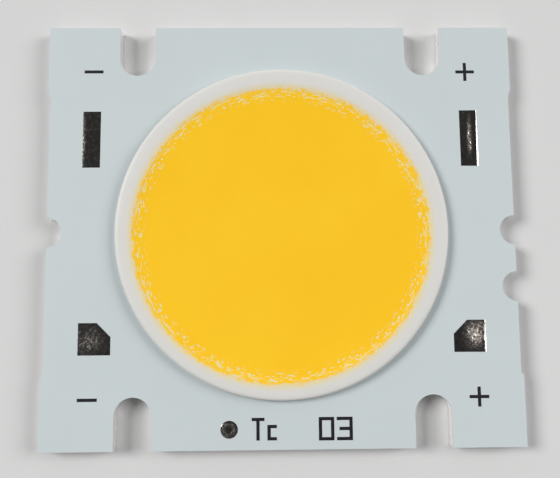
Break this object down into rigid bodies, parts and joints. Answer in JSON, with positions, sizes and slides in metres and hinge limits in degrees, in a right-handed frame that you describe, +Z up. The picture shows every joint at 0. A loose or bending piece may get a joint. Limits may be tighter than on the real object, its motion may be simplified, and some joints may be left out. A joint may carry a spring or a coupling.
{
  "type": "chip-on-board led array",
  "caption": "Flat LED light source: aluminium-core board with a white mask, open screw slots, tinned solder pads and a round yellow phosphor field inside a white dam.",
  "frame": {"origin": "under the middle of the board, on its underside", "axes": "+X along the board's longer side, towards the edge with two notches; +Y towards the long edge away from the test point; +Z up, the way the light leaves"},
  "size_m": [0.046, 0.0412, 0.0025],
  "materials": {
    "board_core": "punched sheet, satin faces and bright sheared edges",
    "film": "matt cream film",
    "copper": "etched copper under the mask",
    "mask": "white solder mask, very slightly blue, satin",
    "tin": "bright, slightly uneven tin",
    "dam": "milky white silicone, smooth",
    "phosphor": "yellow silicone with phosphor, smooth, wrinkled along its rim",
    "chip": "clear crystal chip",
    "wire": "fine gold wire"
  },
  "bodies": {
    "root": {"base_plate": "board_core", "bond_wires_1": "wire", "bond_wires_2": "wire", "bond_wires_3": "wire", "bond_wires_4": "wire", "bond_wires_5": "wire", "bond_wires_6": "wire", "dam_ring": "dam", "die_row_1": "chip", "die_row_2": "chip", "die_row_3": "chip", "die_row_4": "chip", "die_row_5": "chip", "die_row_6": "chip", "dielectric_film": "film", "negative_pad_lower": "tin", "negative_pad_upper": "tin", "negative_track": "copper", "phosphor_fill": "phosphor", "positive_pad_lower": "tin", "positive_pad_upper": "tin", "positive_track": "copper", "solder_mask": "mask", "test_point_copper": "copper", "test_point_tin": "tin"}
  },
  "joints": []
}
